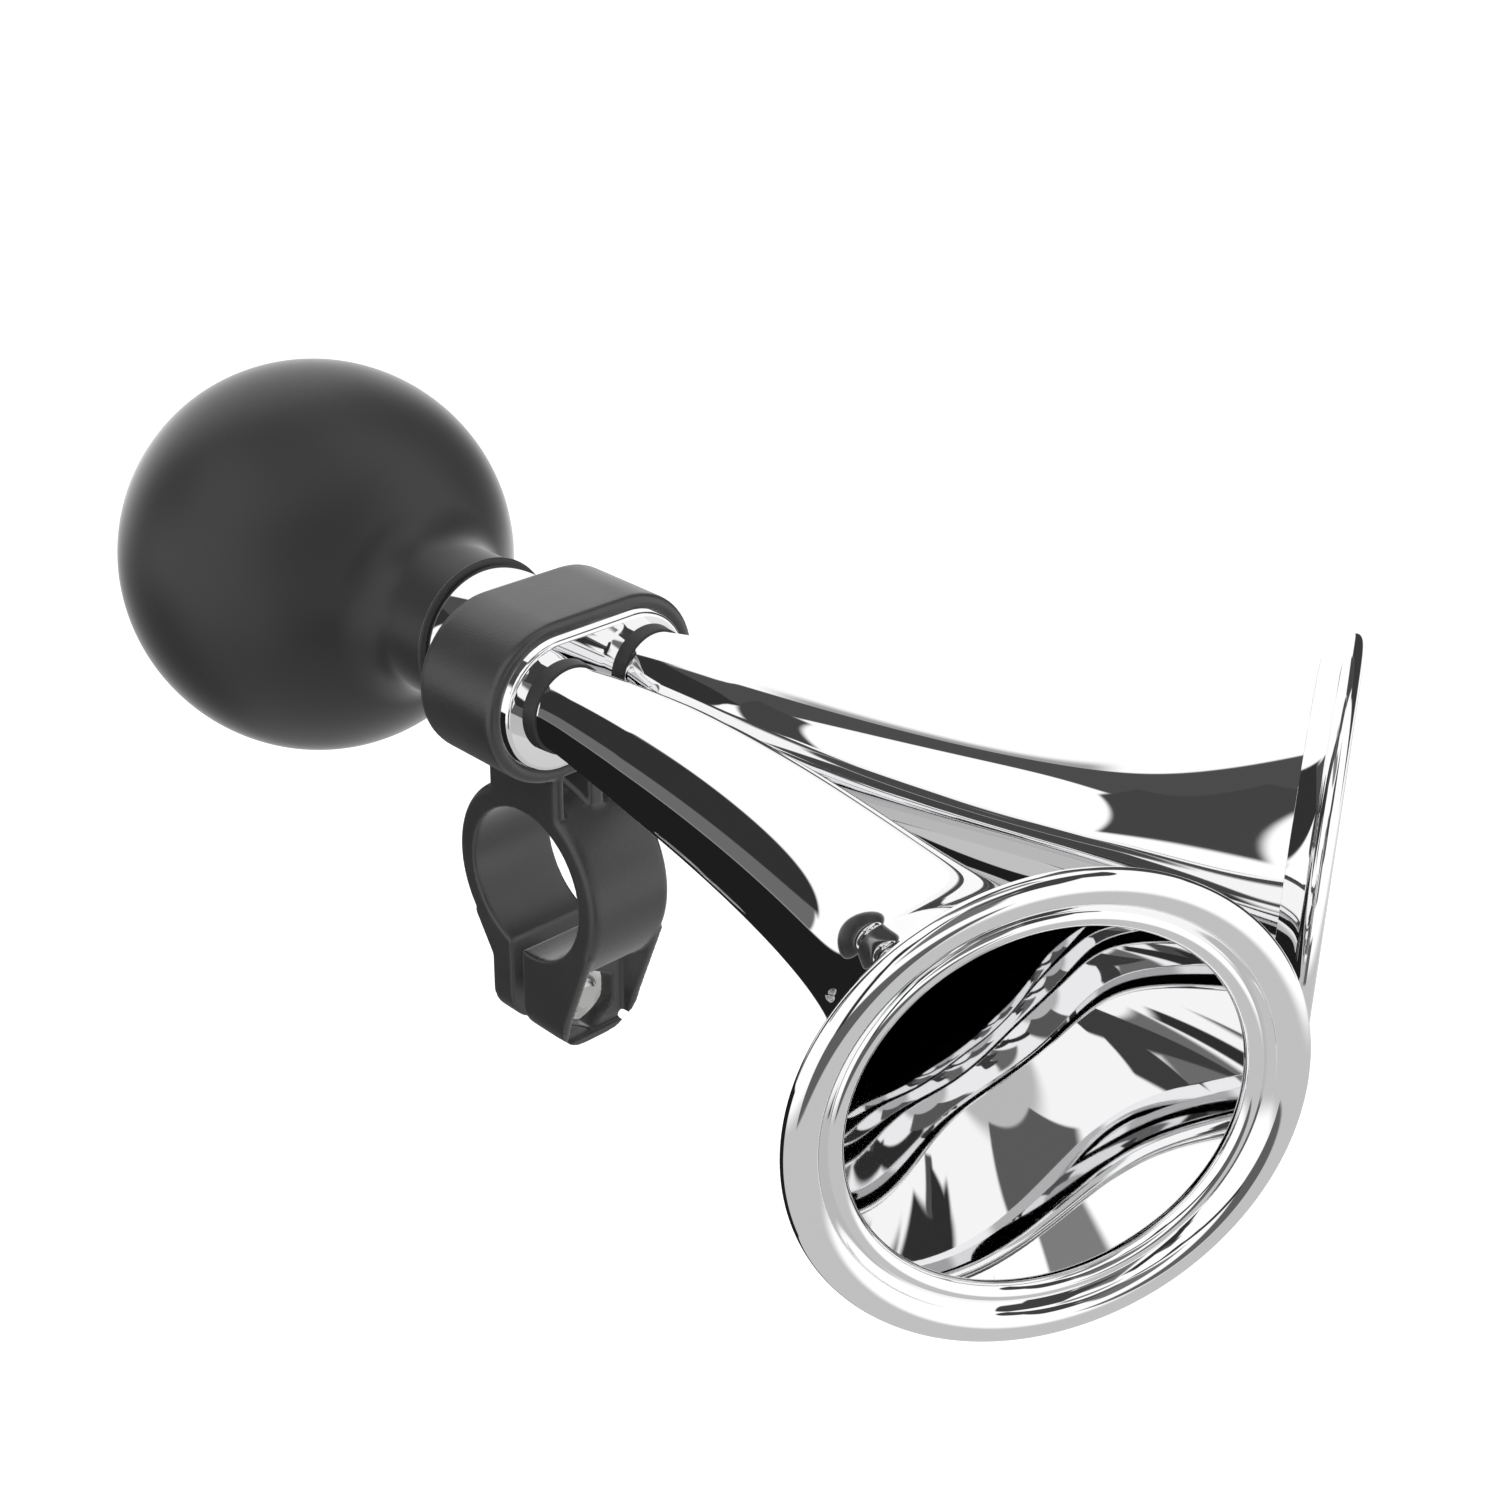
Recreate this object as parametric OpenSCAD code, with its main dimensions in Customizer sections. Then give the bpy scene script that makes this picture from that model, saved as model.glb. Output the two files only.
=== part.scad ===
// Twin-trumpet bulb horn that clamps to a bicycle handlebar.
// Origin: centre of the clamp's bore, on the handlebar's axis.
// +Y runs along the handlebar, +X is the way the trumpets point, +Z is up. Millimetres.

/* [Handlebar clamp] */
// Diameter of the handlebar that the clamp closes on
bar_d = 22.2; // [19:0.1:26]
// Radial room between the handlebar and the open clamp
bar_room = 0.05; // [0.02:0.01:0.08]
// Width of the clamp and stem along the handlebar
clamp_w = 13.8; // [12:0.2:20]
// Wall of the clamp ring
clamp_wall = 3.6; // [2.6:0.1:5]
// Width of the split under the ring
split_w = 2.3; // [1:0.1:3]
// Distance of the split behind the handlebar's axis
split_back = 2.3; // [1:0.1:3]
// Rounding of the moulded outer edges
edge_r = 1.2; // [0.4:0.1:1.6]

/* [Clamp ears and bolt] */
// Depth of the bolt below the handlebar's axis
bolt_drop = 19.1; // [18:0.1:24]
// Thread diameter of the clamp bolt
bolt_d = 5; // [3:0.5:5]
// Running clearance on the bolt's radius
bolt_room = 0.06; // [0.03:0.01:0.1]
// Clearance on the radius of the bolt's holes in the ears
bolt_hole_room = 0.2; // [0.1:0.05:0.4]
// Bolt length under the head
bolt_l = 12.6; // [11:0.1:18]
// Radius of the bolt's pan head
bolt_head_r = 4.4; // [3:0.1:5]
// Height of the bolt's pan head
bolt_head_h = 2.8; // [2.2:0.1:4]
// Width of the nut across its flats
nut_af = 8; // [6:0.1:8.4]
// Thickness of the nut
nut_t = 2.7; // [2:0.1:3]
// Clearance round the nut in its pocket
nut_room = 0.1; // [0.05:0.05:0.2]
// How far the nut lies below the mouth of its pocket
nut_sunk = 2.2; // [1:0.1:3]
// Plastic left between the nut and the split
nut_seat_t = 1.7; // [1.2:0.1:3]
// Thickness of the rear ear
rear_ear_t = 4.5; // [3:0.1:7]
// Wall of the front ear round its recess
ear_rim_t = 1.2; // [0.8:0.1:1.8]
// Rounding of the ears' lower corners
ear_r = 5; // [3:0.2:6]

/* [Stem and band] */
// Height of the horn's centre line over the handlebar's axis
horn_h = 30; // [28:0.5:40]
// Depth of the stem and of the band along the horn
band_depth = 15.2; // [14:0.2:20]
// Outer radius of the band's round ends
band_r = 11.3; // [10.5:0.1:13]
// Wall of the band
band_wall = 2.2; // [1.6:0.1:3]
// Half the distance between the centres of the band's round ends
band_half = 6.3; // [6:0.1:8]
// Wall at the rear of the band, which the collar is screwed against
band_back_t = 2; // [1.4:0.1:3]
// Side and back walls of the hollow stem
stem_wall = 1.2; // [1:0.1:2.4]
// Thickness of the web in the middle of the stem
web_t = 2.3; // [1:0.1:3]

/* [Manifold and collar] */
// Clearance round the manifold in the band
manifold_room = 0.05; // [0.03:0.01:0.2]
// Sheet thickness of the manifold shell
manifold_wall = 1; // [0.6:0.1:1.2]
// Thickness of the flat seal behind the manifold's cap
cap_seal_t = 0.5; // [0.3:0.1:1]
// How far the manifold's cap stands out of the band
cap_proud = 0.7; // [0.5:0.1:2]
// Rounding of the cap's outer edge
cap_edge = 0.5; // [0.3:0.05:0.9]
// Thickness of the manifold's cap
cap_t = 2.8; // [2.4:0.1:4]
// Radius of the threaded spigot behind the manifold
spigot_r = 7.9; // [6.5:0.1:8.2]
// Radius of the air way through the spigot and the collar
airway_r = 5.6; // [3:0.1:6]
// Clearance on the radius of the spigot's thread
spigot_room = 0.05; // [0.03:0.01:0.1]
// Length of the spigot's thread in the collar
spigot_l = 5; // [3:0.1:6]
// Thickness of the sealing washer in the collar
washer_t = 0.8; // [0.4:0.1:1.2]
// Outer radius of the chrome collar
collar_r = 10.5; // [9.6:0.1:11.5]
// Length of the chrome collar that shows
collar_l = 7.7; // [7.2:0.1:12]
// Radius of the collar's barbed nipple in the bulb's neck
nipple_r = 8; // [7:0.1:8.4]
// Length of the nipple
nipple_l = 9; // [6:0.1:10]
// Height of the nipple's barb
barb_h = 0.5; // [0.2:0.1:0.8]

/* [Bulb] */
// Outer radius of the rubber bulb
bulb_r = 28.9; // [26:0.1:34]
// Distance from the bulb's centre to the end of its neck
bulb_reach = 40.1; // [38:0.1:50]
// Wall of the rubber bulb
bulb_wall = 2.4; // [1.5:0.1:3]
// Outer radius of the bulb's neck
bulb_neck_r = 11.2; // [10.6:0.1:12.5]
// Radius of the hollow fillet between the bulb and its neck
bulb_fillet = 9; // [5:0.5:12]
// Radius of the bead round the neck's end
lip_r = 0.8; // [0.5:0.1:1.2]

/* [Trumpets] */
// Distance of the long trumpet's neck to its side of the middle
long_neck_y = 6.6; // [6.4:0.1:7.2]
// Distance of the short trumpet's neck to its side of the middle
short_neck_y = 8; // [7.4:0.1:8.2]
// Rise of the long trumpet's neck over the horn's centre line
long_neck_rise = 0.15; // [0:0.05:0.6]
// Rise of the short trumpet's neck over the horn's centre line
short_neck_rise = 1.2; // [0.6:0.1:1.4]
// Outer radius of the long trumpet's neck
long_neck_r = 5.75; // [5.3:0.05:5.9]
// Outer radius of the short trumpet's neck
short_neck_r = 5.4; // [5.1:0.05:5.5]
// Sheet thickness of the trumpets
trumpet_wall = 0.8; // [0.5:0.05:1]
// How far a neck reaches into the manifold behind the cap
neck_inset = 1.8; // [1:0.1:2.4]
// Radius that the body tends to ahead of the flare
body_r = 9.7; // [9:0.1:10.5]
// Length over which the long trumpet's neck widens into its body
long_grow = 38.4; // [34:0.2:60]
// Length over which the short trumpet's neck widens into its body
short_grow = 22; // [21:0.2:40]
// Slope of the flare's cone: its growth in radius for each millimetre along the path
flare_slope = 0.63; // [0.5:0.01:0.75]
// Radius that the flare's cone has at the seam
cone_r = 22.3; // [20:0.1:22.6]
// Softness of the bend where the body turns into the cone
flare_blend = 7.1; // [4:0.1:9]
// Angle that each bell is turned away from the horn's centre line
bell_turn = 29; // [26:0.5:32]
// Length of the long trumpet's neck, over which it turns into its bend
long_lead = 6; // [4:0.2:10]
// Angle that the long trumpet's neck turns over that length
long_lead_turn = 4.35; // [3:0.05:5]
// Bend radius of the long trumpet
long_bend = 261.9; // [250:0.1:280]
// Angle of the long trumpet's bend
long_bend_turn = 21.46; // [20:0.02:23]
// Straight length of the short trumpet's neck
short_lead = 17.6; // [10:0.1:22]
// Bend radius of the short trumpet
short_bend = 150.7; // [140:0.1:180]
// Rise of each bell's centre over the horn's centre line
bell_rise = 2.3; // [0:0.1:6]

/* [Bells] */
// Outer radius of a bell at its rolled rim
bell_r = 26.4; // [25:0.1:32]
// Half the width of the rolled bead at the rim, across the bell
bead_r = 1.9; // [1.2:0.1:2.2]
// Half the thickness of the rolled bead, along the bell
bead_h = 1.2; // [0.8:0.1:1.8]
// Radius of the small inner bead beside it
inner_bead_r = 1.1; // [0.7:0.1:1.3]
// How far the rim's bead stands in front of the inner bead
bead_step = 1; // [0.6:0.1:1.4]
// Distance of the seam behind the middle of the rim
seam_back = 3.4; // [3:0.1:5]
// Sheet thickness of the bells
bell_wall = 0.8; // [0.5:0.05:1]

/* [Neck seals and reeds] */
// Outer radius of the rubber seal round the long trumpet's neck
long_seal_r = 6.3; // [6.2:0.05:6.6]
// Outer radius of the rubber seal round the short trumpet's neck
short_seal_r = 5.9; // [5.8:0.05:6.2]
// Clearance round the neck and the seal
seal_room = 0.04; // [0.02:0.01:0.1]
// How deep a seal sits in the cap
seal_sunk = 1.4; // [0.8:0.1:2]
// How far a seal stands out of the cap
seal_proud = 2.1; // [1:0.1:3]
// How much a seal narrows towards its end
seal_taper = 0.15; // [0.05:0.05:0.2]
// Clearance between the reed's plug and the neck's inside
plug_room = 0.12; // [0.08:0.01:0.2]
// Length of the reed's plug in the neck
plug_l = 6; // [4:0.2:8]
// Radius of the reed's half-round trough
trough_r = 3.6; // [3.2:0.1:3.8]
// Radius of the reed's air channel
channel_r = 2; // [1.4:0.1:2.2]
// Length of the long trumpet's reed trough
long_trough = 7.2; // [6.6:0.1:7.4]
// Length of the short trumpet's reed trough
short_trough = 6.6; // [5.6:0.1:7.2]
// Thickness of a reed tongue
tongue_t = 0.3; // [0.2:0.02:0.4]
// Width of a reed tongue
tongue_w = 4.6; // [3:0.1:4.8]
// Angle at which a resting tongue stands open
tongue_open = 3; // [2.6:0.1:4]
// Length of a tongue that its wedge holds down
tongue_hold = 2; // [1.5:0.1:2.6]
// Room above and below the held end of a tongue
tongue_room = 0.12; // [0.1:0.01:0.16]
// Height of the wedge that holds a tongue
wedge_h = 1.5; // [1:0.1:2]

/* [Hidden] */
$fn = 72;

// Clamp
bore_r = bar_d / 2 + bar_room;
ring_r = bore_r + clamp_wall;
ear_foot = bolt_drop + nut_af / 2 / cos(30) + nut_room + ear_rim_t;
split_front = -split_back + split_w / 2;
split_rear = -split_back - split_w / 2;
nut_rear = split_front + nut_seat_t;
pocket_mouth = nut_rear + nut_t + nut_sunk;
bolt_seat = split_rear - rear_ear_t;

// Stem, band and manifold
half_depth = band_depth / 2;
band_in = band_r - band_wall;
shell_r = band_in - manifold_room;
shell_rear = -half_depth + band_back_t + manifold_room;
cap_front = half_depth + cap_proud;
cap_rear = cap_front - cap_t;
shell_front = cap_rear - cap_seal_t;

// Collar and bulb
collar_front = -half_depth;
collar_rear = collar_front - collar_l;
spigot_end = collar_front - spigot_l;
washer_rear = spigot_end - washer_t;
bulb_x = collar_rear - bulb_reach;
fillet_x = bulb_x + sqrt(pow(bulb_r + bulb_fillet, 2) - pow(bulb_neck_r + bulb_fillet, 2));

// Trumpets: side, neck's length, bend, reed trough, neck's distance, rise, radius, growth, seal,
// and the angles of the neck and of the bend
LONG = [-1, long_lead, long_bend, long_trough, long_neck_y, long_neck_rise, long_neck_r,
        long_grow, long_seal_r, long_lead_turn, long_bend_turn];
SHORT = [1, short_lead, short_bend, short_trough, short_neck_y, short_neck_rise, short_neck_r,
         short_grow, short_seal_r, 0, bell_turn];
function neck_y(horn) = horn[0] * horn[4];
function neck_z(horn) = horn_h + horn[5];
function neck_r(horn) = horn[6];
function seal_r(horn) = horn[8];
neck_rear = shell_front - neck_inset;
neck_front = cap_front + seal_proud;
trumpet_sides = 36;
trumpet_rings = 26;
function plug_r(horn) = (neck_r(horn) - trumpet_wall) * cos(180 / trumpet_sides) - plug_room;

// Reeds, in their own frame: the axis is Y 0, Z 0 and the plug's rear face is at X 0
flat_z = 0.4;
tongue_z = flat_z + tongue_room;
wedge_z = tongue_z + tongue_t + tongue_room;
wedge_l = tongue_hold + 0.4;

// Outline of a band: two round ends and two straight sides
module stadium(r) {
    for (side = [-1, 1]) translate([side * band_half, 0]) circle(r);
    square([2 * band_half, 2 * r], center = true);
}

// A stadium plate, square to X, from x0 to x1 at the horn's height
module stadium_plate(r, x0, x1) {
    translate([x0, 0, horn_h]) rotate([90, 0, 90]) linear_extrude(x1 - x0) stadium(r);
}

// Carries a cross-section, drawn as [distance from the centre line, X], once round a stadium
module round_stadium() {
    translate([0, 0, horn_h]) {
        for (side = [-1, 1])
            translate([0, side * band_half, 0]) rotate([0, 90, 0])
                rotate([0, 0, side > 0 ? 0 : 180]) rotate_extrude(angle = 180) children();
        for (turn = [0, 180])
            translate([0, band_half, 0]) rotate([turn, 0, 0]) translate([0, turn > 0 ? 2 * band_half : 0, 0])
                rotate([90, 0, 0]) linear_extrude(2 * band_half) rotate(90) mirror([0, 1]) children();
    }
}

// A bar cross-section with rounded corners
module rounded_rect(x0, x1, y0, y1, r) {
    for (x = [x0 + r, x1 - r], y = [y0 + r, y1 - r]) translate([x, y]) circle(r, $fn = 24);
    translate([x0, y0 + r]) square([x1 - x0, y1 - y0 - 2 * r]);
    translate([x0 + r, y0]) square([x1 - x0 - 2 * r, y1 - y0]);
}

// Points of an arc about a centre, from angle a0 to a1
function arc(cx, cy, r, a0, a1, n) = [for (i = [0:n]) let (a = a0 + (a1 - a0) * i / n)
    [cx + r * cos(a), cy + r * sin(a)]];

// Turns a profile of [radius, x] into a round solid on the horn's centre line
module turned(points) {
    translate([0, 0, horn_h]) rotate([0, 90, 0]) rotate_extrude($fn = 96) polygon(points);
}

// Bracket: one moulding of clamp ring, ears, stem and band
module clamp_ring() {
    rotate([90, 0, 0]) rotate_extrude($fn = 96)
        difference() {
            rounded_rect(bore_r - edge_r, ring_r, -clamp_w / 2, clamp_w / 2, edge_r);
            translate([0, -clamp_w / 2]) square([bore_r, clamp_w]);
        }
}

module ear_outline() {
    translate([-clamp_w / 2, -ear_foot + ear_r]) square([clamp_w, ear_foot]);
    translate([-clamp_w / 2 + ear_r, -ear_foot]) square([clamp_w - 2 * ear_r, ear_foot]);
    for (side = [-1, 1]) translate([side * (clamp_w / 2 - ear_r), -ear_foot + ear_r]) circle(ear_r);
}

// An ear is its side view, extruded over the clamp's width, and rounded below
module ear(side_view) {
    intersection() {
        translate([0, clamp_w / 2, 0]) rotate([90, 0, 0]) linear_extrude(clamp_w) polygon(side_view);
        translate([-2 * ring_r, 0, 0]) rotate([90, 0, 90]) linear_extrude(4 * ring_r) ear_outline();
    }
}

module front_ear() {
    foot_x = pocket_mouth + ear_rim_t;
    difference() {
        ear([[split_front, -bore_r], [split_front, -ear_foot], [foot_x, -ear_foot],
             [ring_r * 0.57, -bolt_drop], [ring_r * cos(26), -ring_r * sin(26)], [bore_r, -bore_r * 0.4]]);
        translate([pocket_mouth, -clamp_w / 2 + ear_rim_t, -ear_foot + ear_rim_t])
            cube([ring_r, clamp_w - 2 * ear_rim_t, ear_foot - ear_rim_t]);
    }
}

module rear_ear() {
    ear([[split_rear, -bore_r], [split_rear, -ear_foot], [bolt_seat, -ear_foot],
         [bolt_seat, -ring_r], [-ring_r * cos(38), -ring_r * sin(38)], [-bore_r * 0.7, -bore_r * 0.7]]);
}

module stem() {
    stem_foot = ring_r * 0.6;
    stem_top = horn_h - band_r + band_wall / 2;
    bay = (clamp_w - 2 * stem_wall - web_t) / 2;
    difference() {
        translate([0, 0, stem_foot]) linear_extrude(stem_top - stem_foot)
            rounded_rect(-half_depth, half_depth, -clamp_w / 2, clamp_w / 2, edge_r);
        for (side = [-1, 1])
            translate([-half_depth + stem_wall, side * (web_t + bay) / 2 - bay / 2, stem_foot])
                cube([band_depth, bay, stem_top]);
    }
}

module band() {
    round_stadium() rounded_rect(band_in, band_r, -half_depth, half_depth, band_wall * 0.45);
    stadium_plate(band_in + band_wall / 2, -half_depth + band_wall * 0.45, -half_depth + band_back_t);
    stadium_plate(band_in + manifold_room, -half_depth, -half_depth + band_back_t);
}

module bracket() {
    color([0.10, 0.10, 0.105]) difference() {
        union() {
            clamp_ring();
            front_ear();
            rear_ear();
            stem();
            band();
        }
        rotate([90, 0, 0]) cylinder(r = bore_r, h = 2 * clamp_w, center = true, $fn = 96);
        translate([split_rear, -clamp_w, -2 * ear_foot]) cube([split_w, 2 * clamp_w, 2 * ear_foot]);
        translate([bolt_seat - 1, 0, -bolt_drop]) rotate([0, 90, 0])
            cylinder(r = bolt_d / 2 + bolt_hole_room, h = pocket_mouth - bolt_seat + 2);
        translate([nut_rear, 0, -bolt_drop]) rotate([0, 90, 0])
            cylinder(r = (nut_af / 2 + nut_room) / cos(30), h = ring_r, $fn = 6);
        translate([-half_depth - 1, 0, horn_h]) rotate([0, 90, 0])
            cylinder(r = spigot_r + spigot_room, h = band_back_t + 2);
    }
}

module clamp_bolt() {
    head_rear = bolt_seat - bolt_head_h;
    head_round = bolt_head_h * 0.6;
    slot_w = bolt_d * 0.22;
    color([0.72, 0.72, 0.74]) translate([0, 0, -bolt_drop]) difference() {
        rotate([0, 90, 0]) union() {
            translate([0, 0, bolt_seat]) cylinder(r = bolt_d / 2, h = bolt_l);
            translate([0, 0, head_rear]) rotate_extrude()
                polygon(concat([[0, 0]], arc(bolt_head_r - head_round, head_round, head_round, -90, 0, 6),
                               [[bolt_head_r, bolt_head_h], [0, bolt_head_h]]));
        }
        for (turn = [0, 90]) translate([head_rear, 0, 0]) rotate([turn, 0, 0])
            cube([bolt_head_h, slot_w, bolt_head_r * 1.1], center = true);
    }
}

module clamp_nut() {
    color([0.72, 0.72, 0.74]) translate([nut_rear + 0.02, 0, -bolt_drop]) rotate([0, 90, 0]) difference() {
        cylinder(r = nut_af / 2 / cos(30), h = nut_t, $fn = 6);
        translate([0, 0, -1]) cylinder(r = bolt_d / 2 + bolt_room, h = nut_t + 2);
    }
}

// Manifold: a drawn shell with a threaded spigot behind, closed by a cap in front
module manifold_shell() {
    color([0.86, 0.87, 0.88]) difference() {
        union() {
            stadium_plate(shell_r, shell_rear, shell_front);
            turned([[0, spigot_end], [spigot_r, spigot_end],
                    [spigot_r, shell_rear + 0.5], [0, shell_rear + 0.5]]);
        }
        stadium_plate(shell_r - manifold_wall, shell_rear + manifold_wall, shell_front + 1);
        turned([[0, spigot_end - 1], [airway_r, spigot_end - 1], [airway_r, shell_front], [0, shell_front]]);
    }
}

module manifold_seal() {
    color([0.05, 0.05, 0.05]) difference() {
        stadium_plate(shell_r, shell_front, cap_rear);
        stadium_plate(shell_r - manifold_wall, shell_front - 1, cap_rear + 1);
    }
}

// The cap's face has a rounded edge and a stepped hole for each neck and its seal
module manifold_cap() {
    color([0.88, 0.89, 0.90]) difference() {
        union() {
            stadium_plate(shell_r, cap_rear, cap_front - cap_edge);
            stadium_plate(shell_r - cap_edge, cap_rear, cap_front);
            round_stadium() translate([shell_r - cap_edge, cap_front - cap_edge]) intersection() {
                circle(cap_edge, $fn = 32);
                square(cap_edge);
            }
        }
        for (horn = [LONG, SHORT]) translate([0, neck_y(horn), neck_z(horn)]) rotate([0, 90, 0]) {
            translate([0, 0, cap_rear - 1]) cylinder(r = neck_r(horn) + seal_room, h = cap_t + 2);
            translate([0, 0, cap_front - seal_sunk]) cylinder(r = seal_r(horn) + seal_room, h = cap_t);
        }
    }
}

// Collar: it screws on the spigot behind the band, and its barbed nipple holds the bulb
module collar() {
    thread_r = spigot_r + spigot_room;
    nipple_end = collar_rear - nipple_l;
    color([0.88, 0.89, 0.90]) turned([
        [airway_r, washer_rear], [thread_r, washer_rear], [thread_r, collar_front],
        [collar_r - 0.3, collar_front], [collar_r, collar_front - 0.3], [collar_r, collar_rear + 0.3],
        [collar_r - 0.3, collar_rear], [nipple_r, collar_rear], [nipple_r, nipple_end + 3],
        [nipple_r + barb_h, nipple_end + 3], [nipple_r - barb_h, nipple_end], [airway_r, nipple_end]]);
}

module collar_washer() {
    color([0.05, 0.05, 0.05]) turned([
        [airway_r, washer_rear], [spigot_r, washer_rear], [spigot_r, spigot_end], [airway_r, spigot_end]]);
}

// Bulb: a hollow ball, a hollow fillet and a short neck that ends in a bead
module bulb() {
    open_r = nipple_r + barb_h + 0.05;
    inner_r = bulb_r - bulb_wall;
    neck_mouth = collar_rear - 0.05;
    inner_end = bulb_x + sqrt(inner_r * inner_r - open_r * open_r);
    tangent = atan2(bulb_neck_r + bulb_fillet, fillet_x - bulb_x);
    inner_tangent = atan2(open_r, inner_end - bulb_x);
    color([0.07, 0.07, 0.07]) turned(concat(
        [for (p = arc(bulb_x, 0, bulb_r, 180, tangent, 30)) [p[1], p[0]]],
        [for (p = arc(fillet_x, bulb_neck_r + bulb_fillet, bulb_fillet, 180 + tangent, 270, 8))
            [p[1], p[0]]],
        [for (p = arc(neck_mouth - lip_r, bulb_neck_r, lip_r, 180, 0, 8)) [p[1], p[0]]],
        [[open_r, neck_mouth]],
        [for (p = arc(bulb_x, 0, inner_r, inner_tangent, 180, 30)) [p[1], p[0]]]));
}

// Rubber seals round the necks
module neck_seal(horn) {
    seal_rear = cap_front - seal_sunk + 0.02;
    inner_r = neck_r(horn) + seal_room / 2;
    end_r = seal_r(horn) - seal_taper;
    round_r = (end_r - inner_r) * 0.5;
    color([0.05, 0.05, 0.05]) translate([0, neck_y(horn), neck_z(horn)]) rotate([0, 90, 0]) rotate_extrude()
        polygon(concat([[inner_r, seal_rear], [seal_r(horn), seal_rear], [seal_r(horn), cap_front]],
                       arc(end_r - round_r, neck_front - round_r, round_r, 0, 90, 6),
                       [[inner_r, neck_front]]));
}

// Path of a trumpet's centre line: a neck, straight or turning a little, and then an arc;
// s runs from the seal to the rim
function trumpet_length(horn) = horn[1] + horn[2] * horn[10] * PI / 180;
function arc_turn(horn, s) = max(0, s - horn[1]) / horn[2] * 180 / PI;
function path_turn(horn, s) = horn[9] * min(1, max(0, s) / horn[1]) + arc_turn(horn, s);
function path_at(horn, s) = let (neck = max(0, min(s, horn[1])), a = horn[9] + arc_turn(horn, s)) [
    neck_front + min(s, horn[1]) + horn[2] * (sin(a) - sin(horn[9])),
    neck_y(horn) + horn[0] * (horn[9] * PI / 180 * neck * neck / (2 * horn[1])
                              + horn[2] * (cos(horn[9]) - cos(a))),
    neck_z(horn) + (bell_rise - horn[5]) * max(0, s) / trumpet_length(horn)];

// Radius along a trumpet: the neck widens to the body, which bends softly into the flare's cone
function body_at(horn, s) = neck_r(horn) + (body_r - neck_r(horn)) * (1 - exp(-max(0, s) / horn[7]));
function trumpet_radius(horn, s) = let (
    body = body_at(horn, s),
    over = cone_r - flare_slope * (trumpet_length(horn) - seam_back - s) - body)
    body + (over + sqrt(over * over + flare_blend * flare_blend)) / 2 * min(1, max(0, s) / 20);

// Turn of a ring: square to the path, and brought into the bell's plane over the last fifth
function ring_turn(horn, s) = let (last = trumpet_length(horn) - seam_back)
    path_turn(horn, s) + (bell_turn - path_turn(horn, last)) * pow(max(0, 5 * s / last - 4), 2);

// A ring of points round the path, wall being the distance inside the outer surface
function trumpet_ring(horn, s, wall) = let (c = path_at(horn, s), a = horn[0] * ring_turn(horn, s),
    r = trumpet_radius(horn, s) - wall)
    [for (i = [0:trumpet_sides - 1]) let (t = 360 * (i + 0.5) / trumpet_sides)
        c + r * [-sin(a) * cos(t), cos(a) * cos(t), sin(t)]];

module trumpet(horn) {
    last = trumpet_length(horn) - seam_back;
    first = neck_rear - neck_front;
    n = trumpet_sides;
    stations = concat([first],
                      [for (i = [0:trumpet_rings]) last * (1 - pow(1 - i / trumpet_rings, 1.35))]);
    m = len(stations);
    outer = [for (s = stations) each trumpet_ring(horn, s, 0)];
    inner = [for (s = stations) each trumpet_ring(horn, s, trumpet_wall)];
    walls = [for (k = [0:m - 2], i = [0:n - 1]) let (j = (i + 1) % n)
        [k * n + i, k * n + j, (k + 1) * n + j, (k + 1) * n + i]];
    color([0.88, 0.89, 0.90]) polyhedron(
        points = concat(outer, inner),
        faces = concat(
            [for (w = walls) [w[3], w[2], w[1], w[0]]],
            [for (w = walls) [w[0] + m * n, w[1] + m * n, w[2] + m * n, w[3] + m * n]],
            [for (i = [0:n - 1]) let (j = (i + 1) % n) [i, j, m * n + j, m * n + i]],
            [for (i = [0:n - 1]) let (j = (i + 1) % n, e = (m - 1) * n)
                [e + i, m * n + e + i, m * n + e + j, e + j]]),
        convexity = 6);
}

// Bell: a flange behind, a flattened bead at the rim and a small round bead inside it
module bell(horn) {
    last = trumpet_length(horn) - seam_back;
    seam_r = trumpet_radius(horn, last);
    bead_c = bell_r - bead_r;
    inner_c = bead_c - bead_r - inner_bead_r * 1.3;
    inner_x = bead_h - bead_step - inner_bead_r;
    color([0.88, 0.89, 0.90]) translate(path_at(horn, last)) rotate([0, 90, horn[0] * bell_turn])
        translate([0, 0, seam_back]) rotate_extrude($fn = 96) polygon(concat(
            [[seam_r - bell_wall, -seam_back + 0.02], [seam_r, -seam_back + 0.02]],
            [for (p = arc(bead_c, 0, bead_r, -75, 165, 18)) [p[0], p[1] * bead_h / bead_r]],
            arc(inner_c, inner_x, inner_bead_r, 40, 230, 10)));
}

// Reeds: a brass plug with a trough, a tongue over the trough, and a wedge that holds it
module at_reed(horn) {
    translate([neck_rear + 0.2, neck_y(horn), neck_z(horn)]) children();
}

module reed_body(horn) {
    color([0.79, 0.64, 0.32]) at_reed(horn) difference() {
        rotate([0, 90, 0]) union() {
            cylinder(r = plug_r(horn), h = plug_l);
            translate([0, 0, -horn[3]]) cylinder(r = trough_r, h = horn[3] + 1);
        }
        translate([-horn[3] - 1, -trough_r - 1, flat_z]) cube([horn[3] + 1, 2 * trough_r + 2, trough_r + 1]);
        translate([-horn[3] + 1.2, 0, 0]) rotate([0, 90, 0]) cylinder(r = channel_r, h = horn[3] + plug_l);
    }
}

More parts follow.
